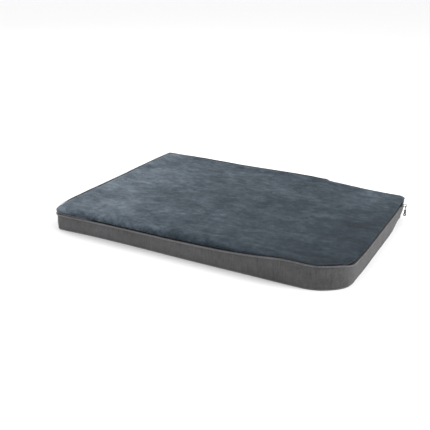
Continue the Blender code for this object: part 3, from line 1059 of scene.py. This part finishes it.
def build_rim_tape():
    """The seam's dark edge, which stands on the velour's rim along the left and the back; its dark
    line is partly painted shade at the rim.
    """
    first, last = LEFT_START + 2 * MM, OUTLINE.zip_length + TAPE_PAST

    def centre(s):
        point, _ = OUTLINE.at(s)
        back = between(point.y, 0.284, 0.296)
        out, z = velour_edge(s, -4.5 - 3.5 * back, 0.88 + 0.075 * back)
        return out + (0.4 - 0.2 * back) * MM, z + (0.4 + 0.3 * wobble(s, 20 * MM, 61)) * MM

    def radii(s):
        point, _ = OUTLINE.at(s)
        thick = between(s, first, first + RIM_TAPER_FIRST)
        thick *= between(-s, -last, RIM_TAPER_LAST - last)
        thick *= 1 - 0.6 * towards(point.x, point.y, -HALF_L, HALF_W, 0.11)
        return (0.3 + 1.3 * thick) * MM, (0.4 + 1.5 * thick) * MM

    dress(tube("tape_rim", spread(first, last, 4 * MM), centre, radii, 62), RIM, "zip_tape")


# The CAD pieces that keep their shape

SLOT_OF = {item["node"]: item["material_slot"] for item in frame["record"]["subparts"]}
CAD_LOOKS = {
    "base_foam": FIRM_FOAM,
    "comfort_foam": SOFT_FOAM,
    "side_bail": STEEL,
    "side_puller": MOULDED,
    "back_bail": STEEL,
    "back_puller": MOULDED,
}
JOIN = 0.001 * MM  # the loaded meshes don't share their points, and a bevel needs them to


def dress_cad():
    for name, material in CAD_LOOKS.items():
        for slot in frame["nodes"][name].material_slots:
            slot.material = material


def softened(node, body, material, width):
    """A copy of a CAD piece with its edges rounded."""
    mesh = frame["nodes"][node].data.copy()
    mesh.name = node + "_rounded"
    obj = add_object(node + "_rounded", mesh, body)
    obj.modifiers.new("weld", "WELD").merge_threshold = JOIN
    round_edges = obj.modifiers.new("edges", "BEVEL")
    round_edges.width = width
    round_edges.segments = 3
    round_edges.limit_method = "ANGLE"
    round_edges.angle_limit = math.radians(35)
    for polygon in mesh.polygons:
        polygon.use_smooth = True
    obj.modifiers.new("shading", "WEIGHTED_NORMAL").keep_sharp = True
    dress(obj, material, SLOT_OF[node], node)


def build_hardware():
    for end in ("side", "back"):
        softened(end + "_slider", end + "_slider", DARK_METAL, 0.25 * MM)
        softened(end + "_end_stop", BODY, DARK_METAL, 0.3 * MM)
        softened(end + "_end_tab", BODY, RIM, 0.2 * MM)


# The camera, floor and light

CAMERA_AZIMUTH = math.radians(26.15)
CAMERA_ELEVATION = math.radians(21.24)
CAMERA_ROLL = math.radians(1.92)
CAMERA_DISTANCE = 2.027
CAMERA_AIM = Vector((0.0, 0.0, 0.030))
CAMERA_SHIFT_RIGHT = 0.0654  # the aim point stands this far right of the optical axis, in metres
CAMERA_SHIFT_UP = 0.0089
CAMERA_LENS = 60.3
CAMERA_SENSOR = 36
FLOOR_SIZE = 40.0
FLOOR_DROP = 0.3 * MM
FLOOR_TONE = 0.94


def build_camera():
    ca, sa = math.cos(CAMERA_AZIMUTH), math.sin(CAMERA_AZIMUTH)
    ce, se = math.cos(CAMERA_ELEVATION), math.sin(CAMERA_ELEVATION)
    forward = Vector((-sa * ce, ca * ce, -se))
    right = forward.cross(Vector((0, 0, 1))).normalized()
    up = right.cross(forward)
    c, s = math.cos(CAMERA_ROLL), math.sin(CAMERA_ROLL)
    right, up = c * right + s * up, -s * right + c * up
    data = bpy.data.cameras.new("camera")
    data.lens = CAMERA_LENS
    data.sensor_width = CAMERA_SENSOR
    camera = bpy.data.objects.new("camera", data)
    bpy.context.scene.collection.objects.link(camera)
    eye = CAMERA_AIM - right * CAMERA_SHIFT_RIGHT - up * CAMERA_SHIFT_UP
    eye -= forward * CAMERA_DISTANCE
    rotation = Matrix((right, up, -forward)).transposed().to_4x4()
    camera.matrix_world = Matrix.Translation(eye) @ rotation
    bpy.context.scene.camera = camera


def build_floor():
    bm = bmesh.new()
    bmesh.ops.create_grid(bm, x_segments=1, y_segments=1, size=FLOOR_SIZE)
    mesh = bpy.data.meshes.new("floor")
    bm.to_mesh(mesh)
    bm.free()
    floor = bpy.data.objects.new("floor", mesh)
    floor.location.z = -FLOOR_DROP
    bpy.context.scene.collection.objects.link(floor)
    material = new_material("floor_white", 0.9)
    shader = material.node_tree.nodes["Principled BSDF"]
    shader.inputs["Base Color"].default_value = (FLOOR_TONE, FLOOR_TONE, FLOOR_TONE, 1.0)
    mesh.materials.append(material)


def area_light(name, location, size, watts):
    """A round soft light that faces the origin."""
    data = bpy.data.lights.new(name, "AREA")
    data.shape = "DISK"
    data.size = size
    data.energy = watts
    light = bpy.data.objects.new(name, data)
    light.location = location
    light.rotation_euler = (-Vector(location)).to_track_quat("-Z", "Y").to_euler()
    bpy.context.scene.collection.objects.link(light)


def build_light():
    world = bpy.data.worlds.new("studio")
    world.use_nodes = True
    background = world.node_tree.nodes["Background"]
    background.inputs["Color"].default_value = (1.0, 1.0, 1.0, 1.0)
    background.inputs["Strength"].default_value = 1.0
    bpy.context.scene.world = world
    area_light("key", (3.0, 0.4, 1.5), 1.4, 75)
    area_light("fill_left", (-2.4, 0.8, 2.2), 1.6, 22)
    area_light("fill_front", (-2.0, -2.6, 0.9), 1.8, 24)
    bpy.context.scene.view_settings.view_transform = "Standard"


def main():
    dress_cad()
    build_hardware()
    velour = build_velour()
    build_band()
    build_welt()
    build_corner_fold()
    build_bottom_seam()
    build_hinge_cloth()
    build_base_cloth()
    build_coil("coil_lower", "zip_coil_lower", -COIL_FAR, -COIL_NEAR, 0.0)
    build_coil("coil_upper", "zip_coil_upper", COIL_NEAR, COIL_FAR, 0.5)
    build_tape("tape_lower", "zip_tape_lower", LOWER_TAPE, TAPE_LOW, lambda s: -TAPE_NEAR)
    build_tape("tape_upper", "zip_tape_upper", TAPE, TAPE_NEAR, upper_tape_top)
    build_rim_tape()
    build_camera()
    build_floor()
    build_light()


main()
